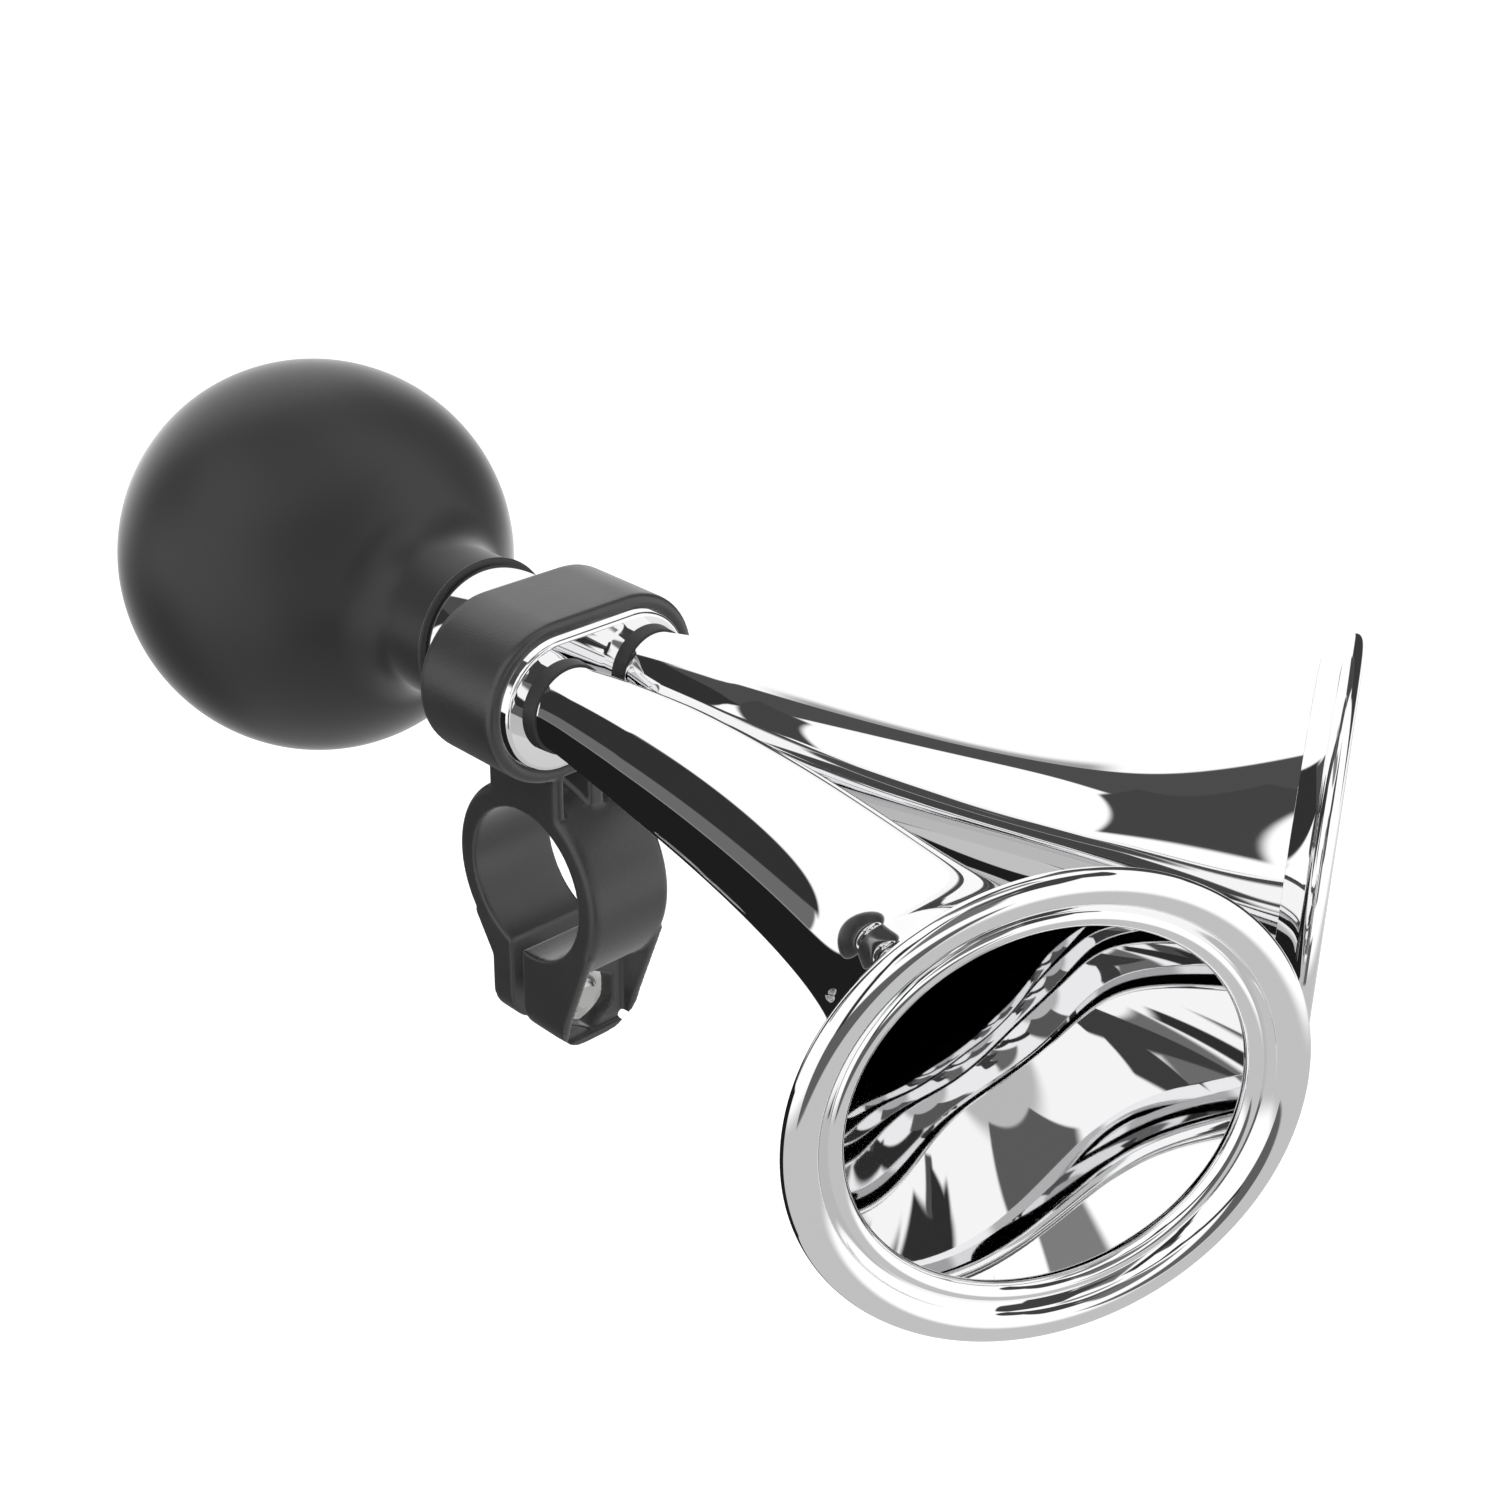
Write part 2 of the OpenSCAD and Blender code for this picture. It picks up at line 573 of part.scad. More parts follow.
module reed_tongue(horn) {
    reach = horn[3] - tongue_hold;
    tip_x = -tongue_hold - reach * cos(tongue_open);
    tip_z = tongue_z + reach * sin(tongue_open);
    color([0.86, 0.72, 0.40]) at_reed(horn) translate([0, tongue_w / 2, 0]) rotate([90, 0, 0])
        linear_extrude(tongue_w) polygon([
            [-0.3, tongue_z], [-0.3, tongue_z + tongue_t], [-tongue_hold, tongue_z + tongue_t],
            [tip_x, tip_z + tongue_t], [tip_x, tip_z], [-tongue_hold, tongue_z]]);
}

module reed_wedge(horn) {
    half_w = trough_r - 0.2;
    foot_w = half_w - tongue_w / 2 - 0.2;
    color([0.79, 0.64, 0.32]) at_reed(horn) translate([-wedge_l, 0, 0]) {
        translate([0, -half_w, wedge_z]) cube([wedge_l - 0.05, 2 * half_w, wedge_h]);
        for (side = [-1, 1]) translate([0, side * (half_w - foot_w / 2) - foot_w / 2, flat_z])
            cube([wedge_l - 0.05, foot_w, wedge_z - flat_z + wedge_h / 2]);
    }
}

bracket();
clamp_bolt();
clamp_nut();
manifold_shell();
manifold_seal();
manifold_cap();
collar();
collar_washer();
bulb();
neck_seal(LONG);  // neck_seal_long
neck_seal(SHORT);  // neck_seal_short
trumpet(LONG);  // trumpet_long
trumpet(SHORT);  // trumpet_short
bell(LONG);  // bell_long
bell(SHORT);  // bell_short
reed_body(LONG);  // reed_body_long
reed_body(SHORT);  // reed_body_short
reed_tongue(LONG);  // reed_tongue_long
reed_tongue(SHORT);  // reed_tongue_short
reed_wedge(LONG);  // reed_wedge_long
reed_wedge(SHORT);  // reed_wedge_short
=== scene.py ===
"""Twin-trumpet bicycle horn: the pieces that show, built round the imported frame.

The object's frame has its origin on the handlebar's axis, +X the way the trumpets point,
+Y along the handlebar and +Z up. Shapes are worked out in millimetres and put into the
meshes in metres.
"""

import bmesh
import bpy
import numpy as np
from mathutils import Matrix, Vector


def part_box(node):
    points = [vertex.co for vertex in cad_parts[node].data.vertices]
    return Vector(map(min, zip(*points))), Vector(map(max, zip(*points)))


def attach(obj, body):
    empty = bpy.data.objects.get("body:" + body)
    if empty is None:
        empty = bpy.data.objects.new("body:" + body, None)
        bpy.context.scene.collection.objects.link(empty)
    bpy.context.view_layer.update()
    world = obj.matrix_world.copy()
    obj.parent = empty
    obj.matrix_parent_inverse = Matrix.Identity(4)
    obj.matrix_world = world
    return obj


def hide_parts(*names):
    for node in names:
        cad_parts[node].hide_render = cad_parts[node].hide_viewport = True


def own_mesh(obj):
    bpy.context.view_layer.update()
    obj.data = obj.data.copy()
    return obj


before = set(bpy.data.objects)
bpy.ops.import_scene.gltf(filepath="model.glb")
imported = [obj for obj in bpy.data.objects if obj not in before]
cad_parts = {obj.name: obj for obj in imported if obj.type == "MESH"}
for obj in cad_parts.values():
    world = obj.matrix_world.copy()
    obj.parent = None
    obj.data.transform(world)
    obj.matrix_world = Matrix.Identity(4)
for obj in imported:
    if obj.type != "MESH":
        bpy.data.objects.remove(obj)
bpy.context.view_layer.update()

# Bracket
# One moulding of black nylon: the split ring that grips the handlebar, its two ears, the
# ribbed stem and the oval band round the manifold. Its edges come rounded from the mould.
PLASTIC_COLOUR = (0.021, 0.021, 0.022)
VOXEL = 0.00032
SMOOTHING_ROUNDS = 5
FINER_GRAIN, FINER_SHARE = 2.7, 0.33


def add_object(name, mesh, body, material):
    """Links a mesh as a piece of the horn: it rides on a body and takes a material slot."""
    piece = bpy.data.objects.new(name, mesh)
    bpy.context.scene.collection.objects.link(piece)
    mesh.materials.clear()
    mesh.materials.append(material)
    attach(piece, body)
    return piece


def node_group(name, inputs, outputs):
    """An empty shader group with float or vector sockets: (name, type, start value)."""
    group = bpy.data.node_groups.new(name, "ShaderNodeTree")
    for label, kind, value in inputs:
        socket = group.interface.new_socket(label, in_out="INPUT", socket_type="NodeSocket" + kind)
        if value is not None:
            socket.default_value = value
    for label in outputs:
        group.interface.new_socket(label, in_out="OUTPUT", socket_type="NodeSocketFloat")
    start, end = group.nodes.new("NodeGroupInput"), group.nodes.new("NodeGroupOutput")
    return group, start, end


def moulded_grain_group():
    """Height of a fine moulded grain: a noise, and a share of one with a finer scale."""
    group, start, end = node_group(
        "moulded_grain", [("Vector", "Vector", None), ("Scale", "Float", 1000.0)], ["Height"])
    nodes, link = group.nodes, group.links.new
    coarse, fine = nodes.new("ShaderNodeTexNoise"), nodes.new("ShaderNodeTexNoise")
    finer, add = nodes.new("ShaderNodeMath"), nodes.new("ShaderNodeMath")
    finer.operation, add.operation = "MULTIPLY", "MULTIPLY_ADD"
    finer.inputs[1].default_value = FINER_GRAIN
    add.inputs[1].default_value = FINER_SHARE
    link(start.outputs["Scale"], finer.inputs[0])
    link(start.outputs["Scale"], coarse.inputs["Scale"])
    link(finer.outputs[0], fine.inputs["Scale"])
    for noise in (coarse, fine):
        noise.inputs["Detail"].default_value = 1.0
        link(start.outputs["Vector"], noise.inputs["Vector"])
    link(fine.outputs["Fac"], add.inputs[0])
    link(coarse.outputs["Fac"], add.inputs[2])
    link(add.outputs[0], end.inputs["Height"])
    return group


def handling_group():
    """A value that drifts between Low and High over the surface, as handling leaves it."""
    group, start, end = node_group(
        "handling", [("Vector", "Vector", None), ("Scale", "Float", 40.0),
                     ("Low", "Float", 0.3), ("High", "Float", 0.5)], ["Value"])
    nodes, link = group.nodes, group.links.new
    noise, spread = nodes.new("ShaderNodeTexNoise"), nodes.new("ShaderNodeMapRange")
    noise.inputs["Detail"].default_value = 3.0
    spread.inputs["From Min"].default_value = 0.35
    spread.inputs["From Max"].default_value = 0.65
    link(start.outputs["Vector"], noise.inputs["Vector"])
    link(start.outputs["Scale"], noise.inputs["Scale"])
    link(noise.outputs["Fac"], spread.inputs["Value"])
    link(start.outputs["Low"], spread.inputs["To Min"])
    link(start.outputs["High"], spread.inputs["To Max"])
    link(spread.outputs["Result"], end.inputs["Value"])
    return group


MOULDED_GRAIN = moulded_grain_group()
HANDLING = handling_group()


def finish(name, colour, metallic, rough, rough_scale, grain=None, sheen=None, gloss=0.5):
    """A Principled material: roughness drifts over the surface between the two values of
    rough, grain is (scale, strength, depth in metres) of a bump, sheen is (weight, roughness)
    and gloss the specular level. Grain and sheen may be None."""
    material = bpy.data.materials.new(name)
    material.use_nodes = True
    nodes, link = material.node_tree.nodes, material.node_tree.links.new
    shader = nodes["Principled BSDF"]
    shader.inputs["Base Color"].default_value = (*colour, 1.0)
    shader.inputs["Metallic"].default_value = metallic
    shader.inputs["Specular IOR Level"].default_value = gloss
    place = nodes.new("ShaderNodeTexCoord")
    drift = nodes.new("ShaderNodeGroup")
    drift.node_tree = HANDLING
    drift.inputs["Scale"].default_value = rough_scale
    drift.inputs["Low"].default_value, drift.inputs["High"].default_value = rough
    link(place.outputs["Object"], drift.inputs["Vector"])
    link(drift.outputs["Value"], shader.inputs["Roughness"])
    if sheen:
        shader.inputs["Sheen Weight"].default_value = sheen[0]
        shader.inputs["Sheen Roughness"].default_value = sheen[1]
    if grain:
        scale, strength, depth = grain
        height, bump = nodes.new("ShaderNodeGroup"), nodes.new("ShaderNodeBump")
        height.node_tree = MOULDED_GRAIN
        height.inputs["Scale"].default_value = scale
        bump.inputs["Strength"].default_value = strength
        bump.inputs["Distance"].default_value = depth
        link(place.outputs["Object"], height.inputs["Vector"])
        link(height.outputs["Height"], bump.inputs["Height"])
        link(bump.outputs["Normal"], shader.inputs["Normal"])
    return material


def remoulded(node, voxel, rounds):
    """The CAD node's solid with its edges moulded round: its doubles are merged, it is
    rebuilt in voxels, and each point is moved to the mean of its neighbours, rounds times."""
    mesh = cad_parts[node].data.copy()
    work = bmesh.new()
    work.from_mesh(mesh)
    bmesh.ops.remove_doubles(work, verts=work.verts, dist=2e-6)
    work.to_mesh(mesh)
    work.free()
    helper = bpy.data.objects.new("helper", mesh)
    bpy.context.scene.collection.objects.link(helper)
    remesh = helper.modifiers.new("voxels", "REMESH")
    remesh.mode, remesh.voxel_size, remesh.use_smooth_shade = "VOXEL", voxel, True
    smooth = helper.modifiers.new("smooth", "SMOOTH")
    smooth.factor, smooth.iterations = 0.5, rounds
    evaluated = helper.evaluated_get(bpy.context.evaluated_depsgraph_get())
    result = bpy.data.meshes.new_from_object(evaluated)
    bpy.data.objects.remove(helper)
    return result


black_plastic = finish("black_plastic", PLASTIC_COLOUR, 0.0, (0.32, 0.40), 60.0,
                       grain=(2600.0, 0.45, 0.00005), sheen=(0.2, 0.4), gloss=0.85)
bracket = add_object("bracket_moulding", remoulded("bracket", VOXEL, SMOOTHING_ROUNDS),
                     "horn", black_plastic)
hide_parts("bracket")
# The polished necks show no mirror image of the band
bracket.visible_glossy = False

# Clamp bolt and nut
# A zinc-plated M5 pan-head bolt through both ears, and the hexagon nut that sits in the
# front ear's pocket. The thread is a true helix, and the nut's corners are turned off.
STEEL_COLOUR = (0.58, 0.58, 0.57)
THREAD_PITCH = 0.8
THREAD_DEPTH = 0.42
SHANK_R = 2.5
SHANK_PLAIN = 2.5
SHANK_RINGS = 260
HEAD_HEIGHT = 2.8
HEAD_ROUND = 1.68
RECESS_WIDTH = 1.1
RECESS_REACH = 2.42
RECESS_DEPTH = 1.4
RECESS_DRAFT = 0.2
RECESS_END_DRAFT = 0.3
TIP_LENGTH = 0.5
TIP_R = 1.7
NUT_THREAD_R = 2.56
NUT_MOUTH_R = 2.9
NUT_MOUTH_DEPTH = 0.35
NUT_FACE_SHARE = 0.97
NUT_CONE = np.radians(30)


def add_grid(name, grid, angle=32.0, loop_u=True, loop_v=False):
    """A mesh in metres from a grid of points in millimetres: grid[i, j] has neighbours
    grid[i + 1, j] and grid[i, j + 1], and a loop joins its last row to its first. Poles are
    merged, the normals are turned outwards, and edges sharper than angle stay sharp."""
    rows, columns = grid.shape[:2]
    i = np.arange(rows if loop_u else rows - 1)[:, None]
    j = np.arange(columns if loop_v else columns - 1)[None, :]
    after_i, after_j = (i + 1) % rows, (j + 1) % columns
    corners = [a * columns + b for a, b in
               ((i, j), (after_i, j), (after_i, after_j), (i, after_j))]
    quads = np.stack([np.broadcast_to(c, (i.size, j.size)) for c in corners], -1).reshape(-1, 4)
    mesh = bpy.data.meshes.new(name)
    mesh.from_pydata(grid.reshape(-1, 3) / 1000.0, [], quads)
    work = bmesh.new()
    work.from_mesh(mesh)
    bmesh.ops.remove_doubles(work, verts=work.verts, dist=2e-7)
    bmesh.ops.recalc_face_normals(work, faces=work.faces)
    work.to_mesh(mesh)
    work.free()
    mesh.shade_smooth()
    mesh.set_sharp_from_angle(angle=np.radians(angle))
    return mesh


def around(count):
    """Angles once round a circle, without the closing one."""
    return np.linspace(0.0, 2 * np.pi, count, endpoint=False)


def on_axis(x, radius, angle, centre):
    """Points round an axis along +X through centre (y, z): angle 0 is up."""
    x, radius, angle = np.broadcast_arrays(x, radius, angle)
    return np.stack([x, centre[0] + radius * np.sin(angle),
                     centre[1] + radius * np.cos(angle)], -1)


def node_span(node):
    """Lowest and highest corner of a CAD node, in millimetres."""
    low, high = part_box(node)
    return np.array(low) * 1000.0, np.array(high) * 1000.0


def bolt_grid(t):
    """Bolt from the pole of its head to the pole of its tip. The head's rear face is sunk
    where either bar of the cross is, and the thread's radius is a triangle wave of
    x / pitch - t / one turn."""
    low, high = node_span("clamp_bolt")
    head_x, tip_x = low[0], high[0]
    head_r = (high[1] - low[1]) / 2
    seat_x = head_x + HEAD_HEIGHT
    centre = ((high[1] + low[1]) / 2, (high[2] + low[2]) / 2)
    flat_r = np.linspace(0, head_r - HEAD_ROUND, 26)
    turn = np.linspace(0, np.pi / 2, 9)[1:]
    face = np.concatenate([np.stack([head_x + 0 * flat_r, flat_r], 1),
                           np.stack([head_x + HEAD_ROUND * (1 - np.cos(turn)),
                                     head_r - HEAD_ROUND + HEAD_ROUND * np.sin(turn)], 1)])
    y, z = face[:, 1] * np.sin(t), face[:, 1] * np.cos(t)
    half = RECESS_WIDTH / 2 + 0.6 * RECESS_DRAFT
    bars = [np.clip((half - abs(a)) / RECESS_DRAFT, 0, 1)
            * np.clip((RECESS_REACH - abs(b)) / RECESS_END_DRAFT, 0, 1)
            for a, b in ((y, z), (z, y))]
    face_x = face[:, 0] + RECESS_DEPTH * np.maximum(*bars)
    shank_x = np.concatenate([[seat_x, seat_x],
                              np.linspace(seat_x + 0.05, tip_x - TIP_LENGTH, SHANK_RINGS)])
    core = np.concatenate([[head_r], [SHANK_R], np.full(SHANK_RINGS, SHANK_R)])
    wave = 2 * abs((shank_x / THREAD_PITCH - t / (2 * np.pi)) % 1.0 - 0.5)
    threaded = np.clip((shank_x - seat_x - SHANK_PLAIN) / THREAD_PITCH, 0, 1)
    shank_r = core - THREAD_DEPTH * wave * threaded
    tip = np.array([[tip_x - TIP_LENGTH / 2, TIP_R + 0.3], [tip_x, TIP_R], [tip_x, 0.0]])
    x = np.concatenate([face_x, shank_x + 0 * t, tip[:, 0] + 0 * t], 1)
    r = np.concatenate([face[:, 1] + 0 * t, shank_r, tip[:, 1] + 0 * t], 1)
    return on_axis(x, r, t, centre)


def nut_grid(t):
    """Nut with a bore: outside, the smaller of a hexagon and two 30-degree cones."""
    low, high = node_span("clamp_nut")
    flat = (high[1] - low[1]) / 2
    centre = ((high[1] + low[1]) / 2, (high[2] + low[2]) / 2)
    side_x = np.linspace(low[0], high[0], 17)
    hexagon = flat / np.cos((t % (np.pi / 3)) - np.pi / 6)
    from_face = np.minimum(side_x - low[0], high[0] - side_x)
    outside = np.minimum(hexagon, flat * NUT_FACE_SHARE + from_face / np.tan(NUT_CONE))
    bore = np.array([[high[0], NUT_MOUTH_R], [high[0] - NUT_MOUTH_DEPTH, NUT_THREAD_R],
                     [low[0] + NUT_MOUTH_DEPTH, NUT_THREAD_R], [low[0], NUT_MOUTH_R]])
    x = np.concatenate([side_x + 0 * t, bore[:, 0] + 0 * t], 1)
    r = np.concatenate([outside, bore[:, 1] + 0 * t], 1)
    return on_axis(x, r, t, centre)


steel = finish("zinc_steel", STEEL_COLOUR, 1.0, (0.26, 0.42), 300.0,
               grain=(1500.0, 0.2, 0.00003))
bolt = add_object("bolt_with_thread", add_grid("bolt_with_thread", bolt_grid(around(96)[:, None])),
                  "bolt", steel)
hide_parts("clamp_bolt")
nut = add_object("hexagon_nut", add_grid("hexagon_nut", nut_grid(around(180)[:, None]),
                                         loop_v=True), "horn", steel)
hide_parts("clamp_nut")

# Manifold
# A drawn steel box that fills the band and leads the air to both trumpets. A thin rubber
# gasket lies between it and the flat cap in front, which is chromed and polished.
CHROME_COLOUR = (0.90, 0.90, 0.905)
RUBBER_COLOUR = (0.022, 0.022, 0.023)

chrome = finish("polished_chrome", CHROME_COLOUR, 1.0, (0.012, 0.035), 35.0)
seal_rubber = finish("seal_rubber", RUBBER_COLOUR, 0.0, (0.42, 0.55), 90.0,
                     grain=(1800.0, 0.15, 0.00003))


def dress(node, material):
    """Gives a carried CAD node its material. The trumpets don't mirror the node."""
    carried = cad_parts[node]
    carried.data.materials.clear()
    carried.data.materials.append(material)
    carried.visible_glossy = False


for node in ("manifold_shell", "manifold_cap"):
    dress(node, chrome)
dress("manifold_seal", seal_rubber)

# Collar and washer
# A turned brass ring, chromed, that screws on the manifold's spigot behind the band. Its
# barbed nipple holds the bulb, and a rubber washer in its thread keeps the air in.
HORN_AXIS = (0.0, 30.0)
COLLAR_R = 10.5
COLLAR_FRONT = -7.62
COLLAR_REAR = -15.28
COLLAR_EDGE = 0.55
COLLAR_THREAD_R = 7.95
WASHER_SEAT = -13.4
NIPPLE_R = 8.0
NIPPLE_END = -24.3
BARB_LENGTH = 3.0
BARB_HEIGHT = 0.5
AIRWAY_R = 5.6


def arc(x, r, radius, start, end, count):
    """Points (x, r) of an arc about (x, r), from start to end degrees: 0 is towards +X and
    90 away from the axis."""
    a = np.radians(np.linspace(start, end, count))
    return np.stack([x + radius * np.cos(a), r + radius * np.sin(a)], 1)


def turned(name, profile, count=160, centre=HORN_AXIS, loop=True, angle=32.0):
    """A profile of (x, r) turned round an axis along +X."""
    profile = np.asarray(profile)
    t = around(count)[:, None]
    return add_grid(name, on_axis(profile[:, 0], profile[:, 1], t, centre), angle, loop_v=loop)


collar_profile = np.concatenate([
    arc(COLLAR_FRONT - COLLAR_EDGE, COLLAR_R - COLLAR_EDGE, COLLAR_EDGE, 0, 90, 8),
    arc(COLLAR_REAR + COLLAR_EDGE, COLLAR_R - COLLAR_EDGE, COLLAR_EDGE, 90, 180, 8),
    [[COLLAR_REAR, NIPPLE_R], [NIPPLE_END + BARB_LENGTH, NIPPLE_R],
     [NIPPLE_END + BARB_LENGTH, NIPPLE_R + BARB_HEIGHT], [NIPPLE_END, NIPPLE_R - BARB_HEIGHT],
     [NIPPLE_END, AIRWAY_R], [WASHER_SEAT, AIRWAY_R], [WASHER_SEAT, COLLAR_THREAD_R],
     [COLLAR_FRONT, COLLAR_THREAD_R]]])
collar = add_object("turned_collar", turned("turned_collar", collar_profile),
                    "horn", chrome)
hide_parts("collar")
dress("collar_washer", seal_rubber)

# Bulb
# A hollow ball of soft black rubber, blown in a mould, with a hollow fillet down to a short
# neck. The neck is pulled over the nipple and ends in a small bead.
BULB_COLOUR = (0.020, 0.020, 0.0205)
BULB_R = 28.9
BULB_X = -55.4
BULB_WALL = 2.4
NECK_R = 10.9
FILLET_R = 9.0
LIP_R = 0.4
NECK_MOUTH = -15.33
NECK_BORE_R = 8.55


def bulb_profile():
    """Ball, fillet tangent to ball and neck, bead, and the hollow's wall back to its pole."""
    fillet_x = BULB_X + np.sqrt((BULB_R + FILLET_R) ** 2 - (NECK_R + FILLET_R) ** 2)
    touch = np.degrees(np.arctan2(NECK_R + FILLET_R, fillet_x - BULB_X))
    inner_r = BULB_R - BULB_WALL
    inner = np.degrees(np.arcsin(NECK_BORE_R / inner_r))
    ball = arc(BULB_X, 0.0, BULB_R, 180, touch, 120)
    ball[0, 1] = 0.0
    hollow = arc(BULB_X, 0.0, inner_r, inner, 180, 60)
    hollow[-1, 1] = 0.0
    return np.concatenate([
        ball, arc(fillet_x, NECK_R + FILLET_R, FILLET_R, 180 + touch, 270, 30)[1:],
        arc(NECK_MOUTH - LIP_R, NECK_R, LIP_R, 180, 0, 16), [[NECK_MOUTH, NECK_BORE_R]], hollow])


bulb_rubber = finish("bulb_rubber", BULB_COLOUR, 0.0, (0.40, 0.46), 25.0,
                     grain=(3200.0, 0.08, 0.00003), sheen=(1.0, 0.28))
bulb = add_object("rubber_bulb", turned("rubber_bulb", bulb_profile(), count=192, loop=False,
                                        angle=50.0), "bulb", bulb_rubber)
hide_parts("bulb")
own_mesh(bulb)

# Trumpets
# Two tubes of thin chromed brass, drawn over a mandrel and bent: the long one turns to -Y
# and the short one to +Y. Each widens slowly, and then flares into its bell.
NECK_FRONT = 10.4
NECK_REAR = 3.2
BELL_TURN = np.radians(29.0)
BODY_R = 9.7
CONE_R = 22.3
FLARE_SLOPE = 0.63
FLARE_BLEND = 7.1
SEAM_BACK = 3.4
FLARE_RUN_IN = 20.0
END_Z = 32.3
SHEET = 0.8
TUBE_RINGS, TUBE_SIDES = 170, 144
RING_CROWDING = 1.35
# Side, lead and its turn, bend radius and its turn, neck's distance, height and radius, growth
LONG = dict(side=-1, lead=6.0, lead_turn=np.radians(4.35), bend=261.9, turn=np.radians(21.46),
            y=6.6, z=30.15, neck=5.75, grow=38.4)
SHORT = dict(side=1, lead=17.6, lead_turn=0.0, bend=150.7, turn=np.radians(29.0),
             y=8.0, z=31.2, neck=5.4, grow=22.0)


def path_length(horn):
    """Length of the centre line from the seal to the rim."""
    return horn["lead"] + horn["bend"] * horn["turn"]


def path_at(horn, s):
    """Centre and turn of the path at s from the seal: over the lead u it turns evenly, so it
    leaves the axis by lead_turn u^2 / (2 lead); then it is an arc. It rises evenly."""
    first, along = horn["lead_turn"], np.clip(s, 0, horn["lead"])
    a = first + np.maximum(s - horn["lead"], 0) / horn["bend"]
    x = NECK_FRONT + np.minimum(s, horn["lead"]) + horn["bend"] * (np.sin(a) - np.sin(first))
    y = (horn["y"] + first * along ** 2 / (2 * horn["lead"])
         + horn["bend"] * (np.cos(first) - np.cos(a)))
    z = horn["z"] + (END_Z - horn["z"]) * np.maximum(s, 0) / path_length(horn)
    return (np.stack([x, horn["side"] * y, z], -1),
            horn["side"] * (a - first + first * along / horn["lead"]))


def tube_radius(horn, s):
    """Body: neck + (body - neck) (1 - exp(-s / growth)). The cone's line stands d over it, and
    (d + sqrt(d^2 + blend^2)) / 2 is added, from none at the seal to all of it after the
    run-in."""
    body = horn["neck"] + (BODY_R - horn["neck"]) * (1 - np.exp(-np.maximum(s, 0) / horn["grow"]))
    over = CONE_R - FLARE_SLOPE * (path_length(horn) - SEAM_BACK - s) - body
    flare = (over + np.sqrt(over ** 2 + FLARE_BLEND ** 2)) / 2
    return body + flare * np.clip(s / FLARE_RUN_IN, 0, 1)


def tube_grid(horn, s, t):
    """Rings square to the path, outer wall forwards and inner wall back. Over the last
    fifth they are brought into the bell's plane."""
    centre, turn = path_at(horn, s)
    last_fifth = np.maximum(5 * s / s[-1] - 4, 0)
    turn = turn + (horn["side"] * BELL_TURN - turn[-1]) * last_fifth ** 2
    across = np.stack([-np.sin(turn), np.cos(turn), 0 * turn], -1)
    up = np.array([0.0, 0.0, 1.0])

    def wall(inset):
        ring = (tube_radius(horn, s) - inset)[None, :, None]
        return centre + ring * (np.cos(t)[..., None] * across + np.sin(t)[..., None] * up)
    return np.concatenate([wall(0.0), wall(SHEET)[:, ::-1]], 1)


for horn, ending in ((LONG, "long"), (SHORT, "short")):
    last = path_length(horn) - SEAM_BACK
    # The rings crowd towards the flare
    share = 1 - (1 - np.linspace(0, 1, TUBE_RINGS)) ** RING_CROWDING
    stations = np.concatenate([[NECK_REAR - NECK_FRONT], last * share])
    tube = add_grid("flared_tube_" + ending,
                    tube_grid(horn, stations, around(TUBE_SIDES)[:, None]), loop_v=True)
    piece = add_object("flared_tube_" + ending, tube, "horn", chrome)
    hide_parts("trumpet_" + ending)

# Bells
# A spun ring of chromed sheet, seamed on each trumpet: a narrow flange runs out to a
# flattened bead at the rim, and a smaller round bead beside it edges the mouth.
BELL_R = 26.4
BEAD_R = 1.9
BEAD_HEIGHT = 1.2
INNER_BEAD_R = 1.1
BEAD_STEP = 1.0
FLANGE_KNEE = 1.75
FLANGE_RISE = 1.4
BELL_SIDES = 224


def bell_profile(seam_r):
    """(x, r) from the seam: flange as a quadratic curve, outer bead as an ellipse, inner bead
    as a circle; x is 0 at the rim."""
    bead = BELL_R - BEAD_R
    inner = bead - BEAD_R - INNER_BEAD_R * 1.3
    inner_x = BEAD_HEIGHT - BEAD_STEP - INNER_BEAD_R
    seam_x = -SEAM_BACK + 0.02
    a = np.radians(np.linspace(-75, 165, 60))
    outer_bead = np.stack([BEAD_HEIGHT * np.sin(a), bead + BEAD_R * np.cos(a)], 1)
    u = np.linspace(0, 1, 17)[:-1, None]
    knee = np.array([-FLANGE_KNEE, seam_r + FLANGE_RISE])
    flange = (1 - u) ** 2 * [seam_x, seam_r] + 2 * u * (1 - u) * knee + u ** 2 * outer_bead[0]
    return np.concatenate([[[seam_x, seam_r - SHEET]], flange, outer_bead,
                           arc(inner_x, inner, INNER_BEAD_R, 50, -140, 30)])


def bell_grid(horn, t):
    """The profile turned round the bell's own axis, which starts at the trumpet's seam."""
    last = np.array(path_length(horn) - SEAM_BACK)
    turn = horn["side"] * BELL_TURN
    profile = bell_profile(tube_radius(horn, last))
    along = np.array([np.cos(turn), np.sin(turn), 0.0])
    across = np.array([-np.sin(turn), np.cos(turn), 0.0])
    up = np.array([0.0, 0.0, 1.0])
    ring = np.cos(t)[..., None] * across + np.sin(t)[..., None] * up
    return path_at(horn, last)[0] + (profile[:, :1] + SEAM_BACK) * along + profile[:, 1:] * ring


for horn, ending in ((LONG, "long"), (SHORT, "short")):
    rim = add_grid("rolled_rim_" + ending, bell_grid(horn, around(BELL_SIDES)[:, None]),
                   loop_v=True)
    piece = add_object("rolled_rim_" + ending, rim, "horn", chrome)
    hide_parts("bell_" + ending)

# Neck seals
# A short sleeve of black rubber round each neck, let into the cap's face and rounded at
# its end.
CAP_FACE = 8.3
SEAL_SUNK = 1.38
SEAL_TAPER = 0.15
SEAL_ROUND = 0.22


